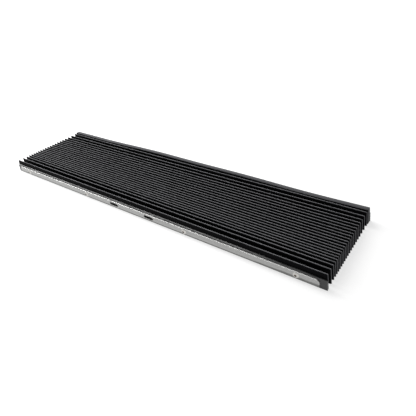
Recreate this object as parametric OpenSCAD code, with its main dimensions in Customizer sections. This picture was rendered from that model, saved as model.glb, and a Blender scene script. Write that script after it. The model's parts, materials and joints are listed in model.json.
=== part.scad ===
// Flat bellows way cover, lying relaxed on its bed.
// +X runs along the pleats, +Y along the travel from the front end to the rear end, +Z up.
// The origin is the centre of the footprint, at the level of the bed.

/* [Cover] */
// Overall width along the pleats, at the foot
cover_w = 400; // [150:1:800]
// Overall height over the bed
cover_h = 14; // [11:0.5:30]
// How far each side leans out from top to foot
side_flare = 1.6; // [0:0.1:4]

/* [Pleats] */
// Number of ridges
ridges = 23; // [9:1:40]
// Ridge spacing where the pleats lie closest, near the front
close_pitch = 2.8; // [2.6:0.1:6]
// Ridge spacing where the pleats lie loosest, near the rear
loose_pitch = 4.6; // [2.6:0.1:8]
// Extra opening of the first pleat
front_spread = 3.3; // [0:0.1:6]
// Extra opening of the last pleat
rear_spread = 2.5; // [0:0.1:6]
// Pleats over which the extra opening dies away
spread_pleats = 4; // [1:1:8]
// Extra width of the last ridge's top, where the cloth lies loose
rear_slack = 2.8; // [0:0.1:4]
// Thickness of the coated cloth
cloth_t = 0.4; // [0.2:0.05:0.5]
// Height of the valley creases over the bed
valley_z = 1.2; // [0.8:0.1:3]
// Height of the cloth's lower edge over the bed
hem_z = 0.3; // [0.1:0.1:0.6]

/* [Support plates] */
// Thickness of the PVC plates inside the ridges
plate_t = 0.8; // [0.5:0.1:1]
// Clearance between a plate and the cloth round it
plate_gap = 0.1; // [0.05:0.05:0.2]

/* [End boards] */
// Thickness of the PVC end boards
board_t = 1.2; // [0.8:0.1:3]
// Height of the end boards
board_h = 9.3; // [7:0.1:10.5]
// Radius of the end boards' top corners
board_corner_r = 2; // [0.5:0.1:4]

/* [Mounting strips] */
// Distance from the cover's side to the end of a metal strip, at the foot
strip_inset = 6; // [2:0.5:20]
// Height of the metal strips' lower edge over the bed
strip_lift = 1.2; // [0:0.1:2]
// Height of the metal strips
strip_h = 6.4; // [5:0.1:7]
// Thickness of the metal strips
strip_t = 1; // [0.5:0.1:2]
// Radius of the strips' top corners
strip_corner_r = 3; // [0.5:0.5:4.5]
// Distance between the two screw slots
slot_spacing = 48; // [24:1:90]
// Length of a screw slot
slot_l = 12; // [5:0.5:20]
// Width of a screw slot
slot_w = 3.4; // [2.4:0.1:4]

/* [Rivets] */
// Distance between the two inner rivets
inner_rivet_spacing = 135; // [110:1:200]
// Distance from the end of a strip to its outer rivet
outer_rivet_inset = 18.5; // [6:0.5:30]
// Diameter of a rivet's shank
rivet_d = 3; // [1.6:0.1:3.4]
// Clearance round a rivet's shank, on the diameter
rivet_hole_gap = 0.1; // [0.05:0.05:0.3]
// Diameter of a rivet's front head
rivet_head_d = 5.4; // [4:0.1:5.6]
// Height of a rivet's front head
rivet_head_h = 0.9; // [0.4:0.1:1.2]
// Diameter of a rivet's closed end
rivet_back_d = 4.4; // [4:0.1:5]
// Height of a rivet's closed end
rivet_back_h = 0.6; // [0.3:0.1:0.8]
// Diameter of the hollow in a rivet's head
rivet_eye_d = 2; // [0.8:0.1:2.2]

/* [Hidden] */
$fn = 48;
// Overshoot of a cut past the face that it opens
over = 1;

// Ridge number as two digits
function two(i) = str(i < 10 ? "0" : "", i);
// Share of the extra opening that is left this many pleats away from an end
function fade(i) = max(0, 1 - i / spread_pleats);
// Spacing between ridge i and the next, counted from 0 at the front
function gap(i) =
    close_pitch + (loose_pitch - close_pitch) * i / (ridges - 2)
    + front_spread * pow(fade(i), 2)
    + rear_spread * fade(ridges - 2 - i);
function run(i) = i == 0 ? 0 : run(i - 1) + gap(i - 1);
half_span = run(ridges - 1) / 2;

last = ridges - 1;
// Half width in Y of a ridge, outside and inside the cloth
room = plate_t / 2 + plate_gap;
crest = room + cloth_t;
// Loose width in front of ridge i, kept clear of the ridge before it
function slack(i) = i < last ? 0 : max(0, min(rear_slack, gap(last - 1) - 2 * crest - 1));
// Place of ridge i, of the front edge of its top, and of the valley behind it
function ridge_y(i) = run(i) - half_span;
function front_edge(i) = ridge_y(i) - crest - slack(i);
function valley_y(i) = (ridge_y(i) + crest + front_edge(i + 1)) / 2;

// Width of the ridges at the top, and the lean of the sides
top_half_w = cover_w / 2 - side_flare;
lean = atan(side_flare / cover_h);
fold_depth = cover_h - valley_z;
plate_h = cover_h - cloth_t - plate_gap;
// Layers of an end, outward from the middle of its ridge
hem_y = crest;
board_y = hem_y + board_t;
strip_y = board_y + strip_t;
strip_l = cover_w - 2 * strip_inset;
rivet_z = strip_lift + strip_h / 2;
rivet_xs = [
    for (x = [inner_rivet_spacing / 2, strip_l / 2 - outer_rivet_inset], s = [-1, 1]) s * x
];

plate_names = [for (i = [1 : last - 1]) str("support_plate_", two(i))];

// Stands an outline drawn in X and Z up, with its thickness running towards -Y from y
module upright(y, t) {
    translate([0, y, 0])
        rotate([90, 0, 0])
            linear_extrude(t)
                children();
}

// Copies an end that is drawn at the origin of its ridge, facing -Y, to the front or to the rear
module at_front() {
    translate([0, ridge_y(0), 0])
        children();
}

module at_rear() {
    translate([0, ridge_y(last), 0])
        mirror([0, 1, 0])
            children();
}

// Outline of the pleats seen along X, between the hems
module side_outline() {
    polygon([
        [front_edge(0), hem_z],
        for (i = [0 : last]) each [
            [front_edge(i), cover_h],
            [ridge_y(i) + crest, cover_h],
            if (i < last) [valley_y(i), valley_z]
        ],
        [ridge_y(last) + crest, hem_z]
    ]);
}

// Outline of the hollow in pleat i seen along X, open at the foot
module side_hollow(i) {
    front = i == 0 ? front_edge(i) + cloth_t : valley_y(i - 1) + cloth_t;
    rear = i == last ? ridge_y(i) + room : valley_y(i) - cloth_t;
    polygon([
        [front, -over],
        [front, valley_z],
        [front_edge(i) + cloth_t, cover_h - cloth_t],
        [ridge_y(i) + room, cover_h - cloth_t],
        [rear, valley_z],
        [rear, -over]
    ]);
}

// Outline of the +X end of the pleats seen from above, measured in from the ridges' tips
module end_outline() {
    polygon([
        [-cover_w, front_edge(0)],
        for (i = [0 : last]) each [
            [0, front_edge(i)],
            [0, ridge_y(i) + crest],
            if (i < last) [-fold_depth, valley_y(i)]
        ],
        [-cover_w, ridge_y(last) + crest]
    ]);
}

// Outline of the hollow in the +X end of pleat i seen from above
module end_hollow(i) {
    front = i == 0 ? front_edge(i) + cloth_t : valley_y(i - 1) + cloth_t;
    rear = i == last ? ridge_y(i) + room : valley_y(i) - cloth_t;
    polygon([
        [-cover_w, front],
        [-fold_depth, front],
        [-cloth_t, front_edge(i) + cloth_t],
        [-cloth_t, ridge_y(i) + room],
        [-fold_depth, rear],
        [-cover_w, rear]
    ]);
}

// Runs an outline drawn in Y and Z along the whole width
module along_x() {
    rotate([90, 0, 90])
        linear_extrude(2 * cover_w, center = true)
            children();
}

// Runs an outline drawn in X and Y down the leaning +X side, and keeps what lies inside both sides
module between_sides() {
    intersection_for (side = [0, 1])
        mirror([side, 0, 0])
            translate([top_half_w, 0, cover_h])
                rotate([0, -lean, 0])
                    linear_extrude(cover_w, center = true)
                        children();
}

// Room for the rivets and the screws through every layer of an end
module end_holes() {
    translate([0, 0, rivet_z]) {
        for (x = rivet_xs)
            translate([x, 0, 0])
                rotate([90, 0, 0])
                    cylinder(h = strip_y + over + crest, d = rivet_d + rivet_hole_gap);
        for (s = [-0.5, 0.5])
            translate([s * slot_spacing, 0, 0])
                rotate([90, 0, 0])
                    linear_extrude(strip_y + over + crest)
                        slot_outline();
    }
}

module slot_outline() {
    straight = slot_l - slot_w;
    square([straight, slot_w], center = true);
    for (s = [-0.5, 0.5])
        translate([s * straight, 0])
            circle(d = slot_w);
}

module bellows_cloth() {
    color("#1c1c1e")
        difference() {
            intersection() {
                along_x() side_outline();
                between_sides() end_outline();
            }
            for (i = [0 : last])
                intersection() {
                    along_x() side_hollow(i);
                    between_sides() end_hollow(i);
                }
            at_front() end_holes();
            at_rear() end_holes();
        }
}

// A support plate, standing on the bed and leaning with the sides of the cloth
module plate_outline() {
    top = top_half_w - cloth_t - plate_gap;
    foot = top + plate_h * tan(lean);
    polygon([[-foot, 0], [foot, 0], [top, plate_h], [-top, plate_h]]);
}

module support_plate(i) {
    color("#2a2a2c")
        upright(ridge_y(i) + plate_t / 2, plate_t)
            plate_outline();
}

module inner_plate() {
    color("#2a2a2c")
        difference() {
            upright(plate_t / 2, plate_t)
                plate_outline();
            translate([0, over, 0])
                end_holes();
        }
}

module end_board() {
    foot = cover_w / 2;
    centre_z = board_h - board_corner_r;
    centre_x = foot - (board_corner_r + sin(lean) * centre_z) / cos(lean);
    corner = [
        for (step = [0 : 6])
            let (a = lean + (90 - lean) * step / 6)
                [centre_x + board_corner_r * cos(a), centre_z + board_corner_r * sin(a)]
    ];
    color("#29292b")
        difference() {
            upright(-hem_y, board_t)
                polygon([
                    [-foot, 0],
                    [foot, 0],
                    each corner,
                    for (step = [6 : -1 : 0]) [-corner[step].x, corner[step].y]
                ]);
            end_holes();
        }
}

module mounting_strip() {
    straight_h = strip_h - strip_corner_r;
    color("#c9ccd0")
        difference() {
            translate([0, 0, strip_lift])
                upright(-board_y, strip_t)
                    intersection() {
                        translate([-strip_l / 2, 0])
                            square([strip_l, strip_h]);
                        union() {
                            translate([-strip_l / 2, 0])
                                square([strip_l, straight_h]);
                            translate([-strip_l / 2 + strip_corner_r, 0])
                                square([strip_l - 2 * strip_corner_r, strip_h]);
                            for (s = [-1, 1])
                                translate([s * (strip_l / 2 - strip_corner_r), straight_h])
                                    circle(r = strip_corner_r);
                        }
                    }
            end_holes();
        }
}

// A rivet turned about its axis, from its closed end behind the inner plate to its hollow head
module rivet() {
    back = plate_t / 2;
    grip = strip_y + back;
    dome_r = (pow(rivet_head_d / 2, 2) + pow(rivet_head_h, 2)) / (2 * rivet_head_h);
    rim = asin(rivet_head_d / 2 / dome_r);
    eye = asin(rivet_eye_d / 2 / dome_r);
    dome = [
        for (step = [0 : 6])
            let (a = rim + (eye - rim) * step / 6)
                [dome_r * sin(a), grip + rivet_head_h - dome_r + dome_r * cos(a)]
    ];
    translate([0, back, 0])
        rotate([90, 0, 0])
            rotate_extrude()
                polygon([
                    [0, -rivet_back_h],
                    [rivet_back_d / 2, -rivet_back_h],
                    [rivet_back_d / 2, 0],
                    [rivet_d / 2, 0],
                    [rivet_d / 2, grip],
                    each dome,
                    [rivet_eye_d / 2, grip],
                    [0, grip]
                ]);
}

module end_rivets() {
    color("#b9aea2")
        for (x = rivet_xs)
            translate([x, 0, rivet_z])
                rivet();
}

module front_strip() { at_front() mounting_strip(); }
module front_board() { at_front() end_board(); }
module front_inner_plate() { at_front() inner_plate(); }
module front_rivets() { at_front() end_rivets(); }
module rear_strip() { at_rear() mounting_strip(); }
module rear_board() { at_rear() end_board(); }
module rear_inner_plate() { at_rear() inner_plate(); }
module rear_rivets() { at_rear() end_rivets(); }

bellows_cloth();
front_strip();
front_board();
front_inner_plate();
front_rivets();
rear_strip();
rear_board();
rear_inner_plate();
rear_rivets();
for (i = [1 : last - 1])
    support_plate(i);
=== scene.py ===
import json
import math
import bpy
from mathutils import Matrix, Vector


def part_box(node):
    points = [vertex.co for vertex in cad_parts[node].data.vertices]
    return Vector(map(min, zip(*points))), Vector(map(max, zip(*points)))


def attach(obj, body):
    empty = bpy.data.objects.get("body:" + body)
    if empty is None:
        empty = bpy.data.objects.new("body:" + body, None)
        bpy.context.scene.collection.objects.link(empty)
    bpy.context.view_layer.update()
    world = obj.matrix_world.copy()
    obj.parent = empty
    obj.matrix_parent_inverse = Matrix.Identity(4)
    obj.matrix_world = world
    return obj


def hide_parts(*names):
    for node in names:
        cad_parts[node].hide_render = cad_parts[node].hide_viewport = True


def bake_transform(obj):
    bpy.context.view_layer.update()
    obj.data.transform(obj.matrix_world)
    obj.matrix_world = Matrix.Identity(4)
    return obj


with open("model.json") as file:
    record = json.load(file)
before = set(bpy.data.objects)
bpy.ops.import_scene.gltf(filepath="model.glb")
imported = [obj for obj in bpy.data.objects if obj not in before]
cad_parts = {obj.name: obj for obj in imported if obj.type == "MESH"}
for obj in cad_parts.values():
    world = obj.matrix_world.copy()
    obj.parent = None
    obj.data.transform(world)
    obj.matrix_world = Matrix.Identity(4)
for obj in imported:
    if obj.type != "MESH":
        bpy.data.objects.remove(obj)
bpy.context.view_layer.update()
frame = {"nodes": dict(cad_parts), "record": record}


# Support plates: one stiff plate of thin PVC sheet stands inside every fold.
# They are punched from dark grey sheet and glued to the cloth, and keep the cover's width and height.
# Only their lower edges show, from below.
PLATE_DARK = (0.018, 0.018, 0.019, 1)
PLATE_LIGHT = (0.035, 0.035, 0.036, 1)
PLATE_ROUGHNESS = 0.45


class Shade:
    """A shader socket that takes part in Python sums. Each sum on values adds its Math node."""

    def __init__(self, tree, socket=None):
        self.tree = tree
        self.socket = socket

    def feed(self, node, inputs):
        """Sets a node's sockets, by name or number, to values or to links from other shades."""
        for key, value in inputs.items():
            if isinstance(value, Shade):
                self.tree.links.new(value.socket, node.inputs[key])
            else:
                node.inputs[key].default_value = value

    def node(self, kind, inputs, output=0, stops=(), **settings):
        """Adds any node, with its settings first and then its sockets, and gives one of its outputs."""
        made = self.tree.nodes.new("ShaderNode" + kind)
        for key, value in settings.items():
            setattr(made, key, value)
        for index, (place, grey) in enumerate(stops):
            elements = made.color_ramp.elements
            stop = elements[index] if index < 2 else elements.new(place)
            stop.position = place
            stop.color = (grey, grey, grey, 1)
        self.feed(made, inputs)
        return Shade(self.tree, made.outputs[output])

    def value(self, operation, *terms):
        """A number worked out from others by one Math node."""
        return self.node("Math", dict(enumerate(terms)), operation=operation)

    def unsigned(self):
        """A number without its sign."""
        return self.value("ABSOLUTE", self)

    def mix(self, factor, first, second):
        """A colour between two others."""
        return self.node("Mix", {0: factor, 6: first, 7: second}, output=2, data_type="RGBA")

    def stretched(self, *scale):
        """A coordinate multiplied by a number for each axis."""
        return self.node("VectorMath", {0: self, 1: scale}, operation="MULTIPLY")

    def noise(self, scale, detail=2.0):
        """Cloudy values from 0 to 1, with that many clouds in a metre of the coordinate."""
        return self.node("TexNoise", {"Vector": self, "Scale": scale, "Detail": detail})

    def ramp(self, *stops):
        """A value passed through a ramp of greys."""
        return self.node("ValToRGB", {"Fac": self}, stops=stops)

    def axis(self, name):
        """One axis of a coordinate."""
        return self.node("SeparateXYZ", {0: self}, output=name)

    def bump(self, strength, distance):
        """The surface direction that a height gives."""
        return self.node("Bump", {"Height": self, "Strength": strength, "Distance": distance})

    def __add__(self, other):
        return self.value("ADD", self, other)

    __radd__ = __add__

    def __sub__(self, other):
        return self.value("SUBTRACT", self, other)

    def __rsub__(self, other):
        return self.value("SUBTRACT", other, self)

    def __mul__(self, other):
        return self.value("MULTIPLY", self, other)

    __rmul__ = __mul__


def new_finish(name):
    """A material, its shader, and the piece's own coordinates in metres to build a pattern on."""
    material = bpy.data.materials.new(name)
    material.use_nodes = True
    tree = material.node_tree
    return material, tree.nodes["Principled BSDF"], Shade(tree).node("TexCoord", {}, output="Object")


def pvc_finish(name, dark, light, roughness):
    """Calendered PVC sheet: a fine grain, cloudy gloss and faint rub marks along the piece."""
    material, shader, place = new_finish(name)
    cloud = place.noise(45.0)
    grain = place.noise(2600.0, 3.0)
    rubs = place.stretched(12.0, 400.0, 700.0).noise(1.0, 4.0).ramp((0.52, 0.0), (0.74, 1.0))
    sheet = place.mix(cloud * 0.6 + rubs * 0.4, dark, light)
    place.feed(shader, {
        "Base Color": sheet,
        "Roughness": roughness + cloud * 0.12 + rubs * 0.1,
        "Normal": (grain + rubs * 0.4).bump(0.2, 0.00006),
    })
    return material, shader, place, sheet


plates = sorted(node for node in frame["nodes"] if node.startswith("support_plate_"))
plate_nodes = ["front_inner_plate", *plates, "rear_inner_plate"]
plate_pvc = pvc_finish("plate_pvc", PLATE_DARK, PLATE_LIGHT, PLATE_ROUGHNESS)[0]
for node in plate_nodes:
    materials = frame["nodes"][node].data.materials
    materials.clear()
    materials.append(plate_pvc)


# Ridges of the cover: the cloth runs flat over the top and down both sides of every support plate.
# It is black woven polyester with a polyurethane coat, creased hot round the plates. Each ridge has a
# narrow rounded top that is paler, partly rubbed by wear and partly painted light where the cloth faces up,
# and the last one lies loose and wide.
RIDGE_T = 0.0003
REAR_SLACK = 0.004
SIDE_FLARE = 0.0016
VALLEY_Z = 0.0012
FOLD_R = 0.0004
SEAM_DEPTH = 0.002
WALL_DEPTH = 0.0016
HEM_LAP = 0.004
ROUND_W = 0.0009
ROUND_H = 0.0013
# Share of wear and painted light on a ridge's rounded top, by how far the cloth has turned from upright;
# the last ridge gets less.
ROUND_WEAR_AND_LIGHT = {90: 0.0, 72: 0.0, 54: 0.0, 36: 0.08, 18: 0.65}
LOOSE_WEAR_AND_LIGHT = 0.56
LIFT = 0.00015
LOOSE_LIFT = 0.0018
SLOW_WAVE = 0.055
SLOW_SHIFT = 2.37
QUICK_WAVE = 0.021
QUICK_SHIFT = 1.62
TOP_STEPS = 30
ARC_STEPS = 4
LEG_STEPS = 6
CREASE_ANGLE = math.radians(50)
THREAD_PAIR = 0.0007
CLOTH_BLACK = (0.002, 0.002, 0.0024, 1)
CLOTH_DARK = (0.004, 0.004, 0.0047, 1)
# Grey of the ridge tops: rubbed cloth and painted light together.
CLOTH_WORN_AND_LIT = (0.18, 0.18, 0.189, 1)

cloth_low, cloth_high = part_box("bellows_cloth")
cover_top = cloth_high.z
hem_z = cloth_low.z
top_half = cloth_high.x - SIDE_FLARE
fold_depth = cover_top - VALLEY_Z
ridge_bodies = ["front_end", *[node.replace("support_", "") for node in plates], "rear_end"]
ridge_y = [sum(corner.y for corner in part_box(node)) / 2 for node in plate_nodes]
crest = cloth_high.y - ridge_y[-1]
last = len(ridge_y) - 1


def fabric_finish():
    """Black coated cloth: a plain weave that shows through the coat, and ridge tops made grey by wear and
    painted light.
    """
    material, shader, place = new_finish("coated_fabric")
    thread = 2 * math.pi / THREAD_PAIR
    cloth = place.node("TexCoord", {}, output="UV")
    across = cloth.axis("X") * thread
    along = cloth.axis("Y") * thread
    weave = across.value("SINE", across) * along.value("SINE", along) * 0.5 + 0.5
    cloud = place.noise(28.0, 3.0)
    fine = place.stretched(1.0, 3.0, 3.0).noise(420.0, 3.0)
    # Ridge tops: partly worn grey, partly painted light where the cloth faces up.
    rubbed = place.node("Attribute", {}, output="Fac", attribute_name="rubbed")
    worn_and_lit = rubbed * fine.ramp((0.3, 0.8), (0.7, 1.0))
    place.feed(shader, {
        "Base Color": place.mix(worn_and_lit, place.mix(cloud, CLOTH_BLACK, CLOTH_DARK), CLOTH_WORN_AND_LIT),
        "Roughness": 0.5 + cloud * 0.12 + weave * 0.05 - worn_and_lit * 0.06,
        "Specular IOR Level": 0.02,
        "Normal": (weave * 0.6 + fine * 0.8).bump(0.3, 0.00005),
    })
    return material


def lift(ridge, x):
    """How far a ridge stands up from its plate: cloth this long never lies quite straight."""
    slow = math.sin(x / SLOW_WAVE + SLOW_SHIFT * ridge)
    quick = math.sin(x / QUICK_WAVE + QUICK_SHIFT * ridge)
    return (LOOSE_LIFT if ridge == last else LIFT) * (0.5 + 0.35 * slow + 0.15 * quick)


def fold_line(depth, y, ridge):
    """Points over the cover at one depth under the ridge tops, from the left foot to the right foot."""
    radius = FOLD_R * (1 - depth / cover_top)
    shoulder = cover_top - depth - radius
    lean = SIDE_FLARE / cover_top
    side = top_half - depth + (cover_top - shoulder) * lean
    half = [((side - radius) * step / TOP_STEPS, shoulder + radius) for step in range(TOP_STEPS)]
    for step in range(ARC_STEPS + 1):
        turn = math.pi / 2 * step / ARC_STEPS
        half.append((side - radius + radius * math.sin(turn), shoulder + radius * math.cos(turn)))
    for step in range(1, LEG_STEPS + 1):
        z = shoulder + (hem_z - shoulder) * step / LEG_STEPS
        half.append((side + (shoulder - z) * lean, z))
    whole = [(-x, z) for x, z in reversed(half[1:])] + half
    stands = 1 - depth / fold_depth
    return [Vector((x, y, z + lift(ridge, x) * stands * z / cover_top)) for x, z in whole]


def activate(piece):
    """Selects one piece alone, as the one that operators act on."""
    bpy.ops.object.select_all(action="DESELECT")
    piece.select_set(True)
    bpy.context.view_layer.objects.active = piece


def cloth_piece(name, lines, wear_and_light, thickness):
    """Joins fold lines into a sheet, with its flat place in metres as UV map, and thickens it inwards."""
    count = len(lines[0])
    mesh = bpy.data.meshes.new(name)
    faces = [
        (row * count + i, row * count + i + 1, (row + 1) * count + i + 1, (row + 1) * count + i)
        for row in range(len(lines) - 1)
        for i in range(count - 1)
    ]
    mesh.from_pydata([point for line in lines for point in line], [], faces)
    along = [0.0]
    for before, after in zip(lines, lines[1:]):
        along.append(along[-1] + (after[count // 2] - before[count // 2]).length)
    flat = []
    for line, v in zip(lines, along):
        u = 0.0
        for i, point in enumerate(line):
            u += (point - line[i - 1]).length if i else 0.0
            flat.append((u, v))
    layer = mesh.uv_layers.new(name="flat_cloth")
    for loop, uv in zip(mesh.loops, layer.data):
        uv.uv = flat[loop.vertex_index]
    rubbed = mesh.attributes.new("rubbed", "FLOAT", "POINT")
    rubbed.data.foreach_set("value", [share for share in wear_and_light for _ in range(count)])
    mesh.materials.append(fabric)
    piece = bpy.data.objects.new(name, mesh)
    bpy.context.scene.collection.objects.link(piece)
    activate(piece)
    thick = piece.modifiers.new("cloth_thickness", "SOLIDIFY")
    thick.thickness = thickness
    thick.offset = -1
    bpy.ops.object.modifier_apply(modifier=thick.name)
    bpy.ops.object.shade_smooth_by_angle(angle=CREASE_ANGLE)
    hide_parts("bellows_cloth")
    return piece


def top_edge(ridge, side):
    """How far a ridge's top reaches from the middle of its plate, on the side -1 or +1."""
    return crest + (REAR_SLACK if (ridge, side) == (last, -1) else 0.0)


def ridge_flank(ridge, side):
    """Rows of one side of a ridge, from its seam up to the middle: offset in Y, depth, and share of wear
    and painted light.
    """
    edge = top_edge(ridge, side)
    seam = SEAM_DEPTH if 0 <= ridge + side <= last else HEM_LAP
    rows = [(side * edge, depth, 0.0) for depth in (seam, WALL_DEPTH)]
    for degrees, share in ROUND_WEAR_AND_LIGHT.items():
        turn = math.radians(degrees)
        out = edge - ROUND_W * (1 - math.sin(turn))
        rows.append((side * out, ROUND_H * (1 - math.cos(turn)), share))
    return rows


def ridge_profile(ridge):
    """Rows of a ridge from its front seam to its rear seam: offset in Y, depth, and share of wear and
    painted light.
    """
    return ridge_flank(ridge, -1) + [(0.0, 0.0, 1.0)] + ridge_flank(ridge, 1)[::-1]


fabric = fabric_finish()
for ridge in range(last + 1):
    rows = ridge_profile(ridge)
    lines = [fold_line(depth, ridge_y[ridge] + offset, ridge) for offset, depth, _ in rows]
    wear_and_light = [share * (LOOSE_WEAR_AND_LIGHT if ridge == last else 1.0) for _, _, share in rows]
    piece = cloth_piece(f"ridge_{ridge + 1:02d}", lines, wear_and_light, RIDGE_T)
    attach(piece, ridge_bodies[ridge])


# Hems of the cover: at each end the cloth turns straight down in front of the last plate.
# The hem lies between that plate and the end board, and the screw slots are punched through it.
HEM_T = 0.0004
HEM_INSET = 0.00004
PUNCH_L = 0.004
PUNCH_SIDES = 32
MIDDLE_BAND = 0.00007
screws = next(mount for mount in frame["record"]["mounts"] if mount["name"] == "front_screws")
slot_w = 2 * screws["dims"]["hole_r_mm"] / 1000
slot_l = screws["dims"]["slot_length_mm"] / 1000
slot_spacing = screws["dims"]["spacing_x_mm"] / 1000
slot_z = screws["pos_m"][2]


def select_where(piece, chosen):
    """Selects in edit mode the corners of a piece whose place the test accepts."""
    bpy.ops.object.mode_set(mode="EDIT")
    bpy.ops.mesh.select_mode(type="VERT")
    bpy.ops.mesh.select_all(action="DESELECT")
    bpy.ops.object.mode_set(mode="OBJECT")
    for corner in piece.data.vertices:
        corner.select = chosen(corner.co)
    bpy.ops.object.mode_set(mode="EDIT")


def place_in_mesh(piece):
    """Moves a piece's place, turn and size from the object into its mesh."""
    activate(piece)
    bpy.ops.object.transform_apply(location=True, rotation=True, scale=True)


def slot_punch(x, y):
    """A punch with the outline of a screw slot: a rod with its right half drawn out sideways."""
    straight = slot_l - slot_w
    middle = x - straight / 2
    bpy.ops.mesh.primitive_cylinder_add(
        vertices=PUNCH_SIDES, radius=slot_w / 2, depth=PUNCH_L,
        location=(middle, y, slot_z), rotation=(math.pi / 2, 0, 0))
    punch = bpy.context.object
    place_in_mesh(punch)
    select_where(punch, lambda co: co.x > middle + MIDDLE_BAND)
    bpy.ops.transform.translate(value=(straight, 0, 0))
    bpy.ops.object.mode_set(mode="OBJECT")
    return punch


def cut(piece, tool):
    """Takes a tool's shape out of a piece and throws the tool away."""
    activate(piece)
    bite = piece.modifiers.new("cut", "BOOLEAN")
    bite.object = tool
    bite.operation = "DIFFERENCE"
    bpy.ops.object.modifier_apply(modifier=bite.name)
    bpy.data.objects.remove(tool)


def hem_panel(name, ridge, side):
    """A trapezoid of cloth, as wide as the ridge and lapped by it, down to the cloth's lower edge."""
    outer = ridge_y[ridge] + side * (crest - HEM_INSET)
    top = cover_top - SEAM_DEPTH
    half = top_half - HEM_INSET
    bpy.ops.mesh.primitive_cube_add(
        size=1, location=(0, outer - side * HEM_T / 2, (top + hem_z) / 2))
    hem = bpy.context.object
    hem.name = name
    hem.scale = (2 * half, HEM_T, top - hem_z)
    place_in_mesh(hem)
    for level in (top, hem_z):
        select_where(hem, lambda co: abs(co.z - level) < HEM_T)
        wider = (half + (cover_top - level) * SIDE_FLARE / cover_top) / half
        bpy.ops.transform.resize(value=(wider, 1, 1), center_override=(0, outer, level))
        bpy.ops.object.mode_set(mode="OBJECT")
    for x in (-slot_spacing / 2, slot_spacing / 2):
        cut(hem, slot_punch(x, outer))
    bpy.ops.object.mode_set(mode="EDIT")
    bpy.ops.mesh.select_all(action="SELECT")
    bpy.ops.uv.cube_project(cube_size=1.0, correct_aspect=False)
    bpy.ops.object.mode_set(mode="OBJECT")
    hem.data.materials.append(fabric)
    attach(hem, ridge_bodies[ridge])
    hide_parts("bellows_cloth")
    return hem


bpy.ops.object.select_all(action="DESELECT")
front_hem = hem_panel("front_hem", 0, -1)
rear_hem = hem_panel("rear_hem", last, 1)


# Pleats of the cover: between two ridges the same cloth goes down to a crease near the bed and up again.
# At the two ends the fold is mitred, so the pleat closes the cover's sides as well as its top.
PLEAT_STEPS = 7
PLEAT_T = 0.00001
travel_shares = {"front_end": 0.0, "rear_end": 1.0}
for coupling in frame["record"]["behaviour"]["couplings"]:
    travel_shares[coupling["joint"].replace("_slide", "")] = coupling["ratio"]


def blend_place(share):
    """Where a smooth blend from 0 to 1 has a given share, from 0 at its start to 1 at its end."""
    return 0.5 - math.sin(math.asin(1 - 2 * share) / 3)


def pleat_rows(ridge):
    """Rows of a pleat from the seam of one ridge to the seam of the next: place in Y, depth and ridge."""
    front = ridge_y[ridge] + top_edge(ridge, 1)
    rear = ridge_y[ridge + 1] - top_edge(ridge + 1, -1)
    middle = (front + rear) / 2
    shares = [step / PLEAT_STEPS for step in range(PLEAT_STEPS)]
    panel = [(share, (1 - share) * SEAM_DEPTH + share * fold_depth) for share in shares]
    rows = [(front + share * (middle - front), depth, ridge) for share, depth in panel]
    rows.append((middle, fold_depth, ridge))
    rows.extend((rear + share * (middle - rear), depth, ridge + 1) for share, depth in reversed(panel))
    return rows


for ridge in range(last):
    rows = pleat_rows(ridge)
    lines = [fold_line(depth, y, near) for y, depth, near in rows]
    pleat = cloth_piece(f"pleat_{ridge + 1:02d}", lines, [0.0] * len(rows), PLEAT_T)
    start, end = (blend_place(travel_shares[ridge_bodies[near]]) for near in (ridge, ridge + 1))
    reach = (rows[-1][0] - rows[0][0]) / (end - start)
    origin = rows[0][0] - start * reach
    origin + reach
    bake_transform(pleat)
    deep = 2 * math.hypot(fold_depth - SEAM_DEPTH, rows[PLEAT_STEPS][0] - rows[0][0])


# End boards: a black PVC board closes each end and stiffens the hem behind the metal strip.
# It is sawn from sheet with its top corners rounded and held by the rivets. Sawing leaves its upper edge
# pale, and painted shade blackens that edge towards the right end.
BOARD_EDGE = 0.0003
BOARD_DARK = (0.02, 0.02, 0.021, 1)
BOARD_LIGHT = (0.04, 0.04, 0.041, 1)
BOARD_ROUGHNESS = 0.36
SAWN_DEPTH = 0.00025
SAWN_PALE = (0.33, 0.33, 0.33, 1)
SAWN_PAINTED_SHADE = (0.006, 0.006, 0.0065, 1)
WELD = 0.000001
FLAT_ANGLE = math.radians(0.5)
SHARP_ANGLE = math.radians(40)
EASE_STEPS = 2
SHEET_SMOOTH = math.radians(30)
board_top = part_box("front_board")[1].z
cover_l = 2 * cloth_high.x


def board_finish():
    """PVC sheet with saw marks on its pale upper edge, which painted shade turns black towards the right
    end.
    """
    material, shader, place, sheet = pvc_finish("board_pvc", BOARD_DARK, BOARD_LIGHT, BOARD_ROUGHNESS)
    saw_marks = place.stretched(900.0, 60.0, 60.0).noise(1.0, 3.0)
    sawn = ((place.axis("Z") - board_top + SAWN_DEPTH) * (1 / SAWN_DEPTH)).ramp((0.0, 0.0), (1.0, 1.0))
    patches = place.stretched(11.0, 1.0, 1.0).noise(1.0)
    # Painted shade: the pale upper edge goes black towards the right end.
    painted_edge_shade = (place.axis("X") * (1 / cover_l) + patches * 0.4).ramp((0.57, 0.0), (0.67, 1.0))
    edge = place.mix(painted_edge_shade, SAWN_PALE, SAWN_PAINTED_SHADE)
    place.feed(shader, {"Base Color": place.mix(sawn * (0.7 + saw_marks * 0.3), sheet, edge)})
    return material


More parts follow.
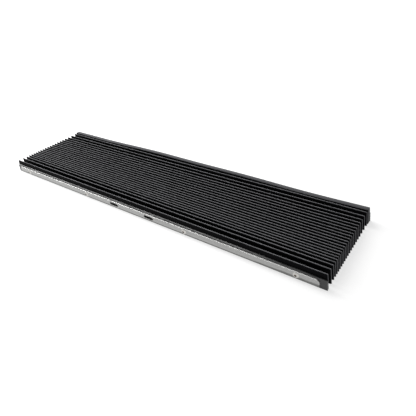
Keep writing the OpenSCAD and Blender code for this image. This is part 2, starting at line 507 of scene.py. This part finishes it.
def eased_copy(node, edge, smooth):
    """A copy of a CAD piece with its sharp edges eased, standing for that piece on the same body."""
    piece = bpy.data.objects.new(node + "_eased", frame["nodes"][node].data.copy())
    bpy.context.scene.collection.objects.link(piece)
    activate(piece)
    bpy.ops.object.mode_set(mode="EDIT")
    bpy.ops.mesh.select_all(action="SELECT")
    bpy.ops.mesh.remove_doubles(threshold=WELD)
    bpy.ops.mesh.customdata_custom_splitnormals_clear()
    bpy.ops.mesh.dissolve_limited(angle_limit=FLAT_ANGLE)
    bpy.ops.object.mode_set(mode="OBJECT")
    if edge:
        ease = piece.modifiers.new("eased_edges", "BEVEL")
        ease.width = edge
        ease.segments = EASE_STEPS
        ease.limit_method = "ANGLE"
        ease.angle_limit = SHARP_ANGLE
        bpy.ops.object.modifier_apply(modifier=ease.name)
    bpy.ops.object.shade_smooth_by_angle(angle=smooth)
    piece.data.materials.clear()
    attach(piece, "front_end" if node.startswith("front") else "rear_end")
    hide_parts(node)
    return piece


board_pvc = board_finish()
for node in ("front_board", "rear_board"):
    board = eased_copy(node, BOARD_EDGE, SHEET_SMOOTH)
    board.data.materials.append(board_pvc)


# Mounting strips: a flat aluminium strip is riveted on each end to screw the cover to the machine.
# It is sheared from rolled stock and left bare, with streaks along its length, dull handling marks on its
# face, a bright top edge that is partly sheared metal and partly a painted highlight, painted light on the
# lower wall of each slot, and painted shade low down, most at the right end.
STRIP_EDGE = 0.00015
STRIP_DULL = (0.31, 0.31, 0.31, 1)
STRIP_CLEAN = (0.47, 0.47, 0.46, 1)
STRIP_PAINTED_SHADE = (0.14, 0.14, 0.135, 1)
STRIP_SHEARED_AND_HIGHLIGHT = (0.85, 0.85, 0.84, 1)
PAINTED_SHADE_H = 0.0016
strip_low, strip_top = (corner.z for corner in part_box("front_strip"))


def strip_finish():
    """Bare rolled aluminium: streaks, cross scuffs, dull patches, a sheared top edge with a painted
    highlight, painted light in the slots and painted shade low down.
    """
    material, shader, place = new_finish("rolled_aluminium")
    streaks = place.stretched(6.0, 900.0, 1500.0).noise(1.0, 5.0)
    scuffs = place.stretched(1500.0, 300.0, 60.0).noise(1.0, 3.0).ramp((0.5, 0.0), (0.8, 1.0))
    dull = place.stretched(1.0, 1.0, 2.0).noise(40.0, 3.0)
    rolled = place.mix(streaks * 0.55 + dull * 0.45, STRIP_DULL, STRIP_CLEAN)
    # Painted shade low on the strip's face, deeper towards the right end.
    painted_shade_spread = (place.axis("X") * (1 / cover_l) + dull * 0.4).ramp((0.54, 0.0), (0.66, 0.7))
    painted_low_shade = ((place.axis("Z") - strip_low) * (1 / PAINTED_SHADE_H) - painted_shade_spread).ramp((0.4, 1.0), (1.0, 0.0))
    face = place.mix(painted_low_shade * (0.6 + dull * 0.4), rolled, STRIP_PAINTED_SHADE)
    # Painted highlight along the top edge, which is also bright sheared metal.
    from_top = place.axis("Z") - strip_top + STRIP_EDGE
    top = (from_top * (1 / STRIP_EDGE)).ramp((0.0, 0.0), (0.6, 1.0))
    # Painted light on the lower wall of each slot, as if lit from the front.
    from_slot = (place.axis("X").unsigned() - slot_spacing / 2).unsigned()
    in_slot = (from_slot * (1 / slot_l)).ramp((0.47, 1.0), (0.52, 0.0))
    from_wall = (place.axis("Z") - (slot_z - slot_w / 2)).unsigned()
    painted_slot_light = in_slot * (from_wall * (0.5 / STRIP_EDGE)).ramp((0.55, 1.0), (0.8, 0.0))
    sheared_and_highlight = top + painted_slot_light
    place.feed(shader, {
        "Base Color": place.mix(sheared_and_highlight, face, STRIP_SHEARED_AND_HIGHLIGHT),
        "Metallic": 1.0,
        "Roughness": 0.42 + dull * 0.16 + scuffs * 0.12 + sheared_and_highlight * 0.22,
        "Normal": (streaks * 0.6 + scuffs * 0.4).bump(0.12, 0.00004),
    })
    return material


aluminium = strip_finish()
for node in ("front_strip", "rear_strip"):
    strip = eased_copy(node, STRIP_EDGE, SHEET_SMOOTH)
    strip.data.materials.append(aluminium)


# Rivets: four blind rivets at each end clamp the strip, the board, the hem and the last plate together.
# Their heads are domed aluminium, and the broken steel stem in the hollow of each head has gone brown.
RIVET_OUTER_X = 0.1755
RIVET_INNER_X = 0.0675
RIVET_SMOOTH = math.radians(40)
RIVET_DULL = (0.42, 0.41, 0.39, 1)
RIVET_CLEAN = (0.66, 0.65, 0.63, 1)
STEM_BROWN = (0.16, 0.1, 0.06, 1)
EYE_R = 0.001


def rivet_finish():
    """Domed aluminium with a brown spot in the hollow of every head, which also stains its rim."""
    material, shader, place = new_finish("rivet_metal")
    off_middle = place.axis("X").unsigned()
    outer = (off_middle - RIVET_OUTER_X).unsigned()
    inner = (off_middle - RIVET_INNER_X).unsigned()
    aside = outer.value("MINIMUM", outer, inner)
    above = place.axis("Z") - slot_z
    radius = aside.value("SQRT", aside * aside + above * above)
    stain = place.noise(1400.0, 3.0)
    brown = (radius * (1 / EYE_R) + stain * 0.5 - 0.25).ramp((0.9, 1.0), (2.1, 0.0))
    metal = place.mix(stain, RIVET_DULL, RIVET_CLEAN)
    place.feed(shader, {
        "Base Color": place.mix(brown, metal, STEM_BROWN),
        "Metallic": 1 - brown * 0.7,
        "Roughness": 0.36 + stain * 0.15 + brown * 0.2,
        "Normal": stain.bump(0.15, 0.00005),
    })
    return material


rivet_metal = rivet_finish()
for node in ("front_rivets", "rear_rivets"):
    rivets = eased_copy(node, 0, RIVET_SMOOTH)
    rivets.data.materials.append(rivet_metal)


# Floor, light and camera: a plain white table in a pale studio, which glows brighter to its left as painted
# light and far from the cover, a wide soft light above the cover on its left, a smaller one beyond its left
# end, and the camera at the photograph's angle.
FLOOR_SIZE = 8.0
FLOOR_GREY = (0.36, 0.36, 0.36, 1)
VIEW_AZIMUTH = math.radians(39.28)
VIEW_ELEVATION = math.radians(33.97)
VIEW_ROLL = math.radians(-6.15)
VIEW_DISTANCE = 0.3565
VIEW_TARGET = Vector((0.0738, -0.02005, 0.014))
VIEW_LENS = 33.53
VIEW_SENSOR = 36
VIEW_NEAREST = 0.01

bpy.ops.mesh.primitive_plane_add(size=FLOOR_SIZE, location=(0, 0, 0))
floor = bpy.context.object
floor.name = "floor"
white, floor_shader, place = new_finish("white_table")
distance = place.node("VectorMath", {0: place}, output="Value", operation="LENGTH")
far = distance.ramp((0.4, 0.0), (0.9, 0.32))
# Painted light: the table glows brighter towards the left, where the lamps stand.
aside = (place.axis("X") + 0.5).ramp((0.25, 0.9), (0.7, 0.66))
place.feed(floor_shader, {
    "Base Color": FLOOR_GREY,
    "Roughness": 0.8,
    "Specular IOR Level": 0.0,
    "Emission Color": aside + far,
    "Emission Strength": 1.0,
})
floor.data.materials.append(white)

sky = bpy.data.worlds.new("studio")
sky.use_nodes = True
height = Shade(sky.node_tree).node("TexCoord", {}, output="Generated").axis("Z")
height.feed(sky.node_tree.nodes["Background"], {"Color": height.ramp((0.2, 1.0), (0.45, 0.34))})
bpy.context.scene.world = sky
bpy.context.scene.view_settings.view_transform = "Standard"


def soft_light(name, place, wide, high, power):
    """A soft rectangular light that faces the middle of the cover."""
    bpy.ops.object.light_add(type="AREA", location=place)
    lamp = bpy.context.object
    lamp.name = name
    lamp.data.shape = "RECTANGLE"
    lamp.data.size = wide
    lamp.data.size_y = high
    lamp.data.energy = power
    lamp.rotation_euler = (-Vector(place)).to_track_quat("-Z", "Y").to_euler()


soft_light("top_light", place=(-0.5, 0.25, 0.65), wide=0.7, high=0.7, power=10.5)
soft_light("left_light", place=(-1.0, 0.1, 0.6), wide=0.25, high=0.5, power=5.0)

flat_right = Vector((math.cos(VIEW_AZIMUTH), math.sin(VIEW_AZIMUTH), 0))
back = Vector((
    math.sin(VIEW_AZIMUTH) * math.cos(VIEW_ELEVATION),
    -math.cos(VIEW_AZIMUTH) * math.cos(VIEW_ELEVATION),
    math.sin(VIEW_ELEVATION)))
level_up = back.cross(flat_right)
right = flat_right * math.cos(VIEW_ROLL) + level_up * math.sin(VIEW_ROLL)
up = level_up * math.cos(VIEW_ROLL) - flat_right * math.sin(VIEW_ROLL)
bpy.ops.object.camera_add()
camera = bpy.context.object
camera.data.sensor_width = VIEW_SENSOR
camera.data.lens = VIEW_LENS
camera.data.clip_start = VIEW_NEAREST
turn = Matrix((right, up, back)).transposed().to_4x4()
camera.matrix_world = Matrix.Translation(VIEW_TARGET + back * VIEW_DISTANCE) @ turn
bpy.context.scene.camera = camera
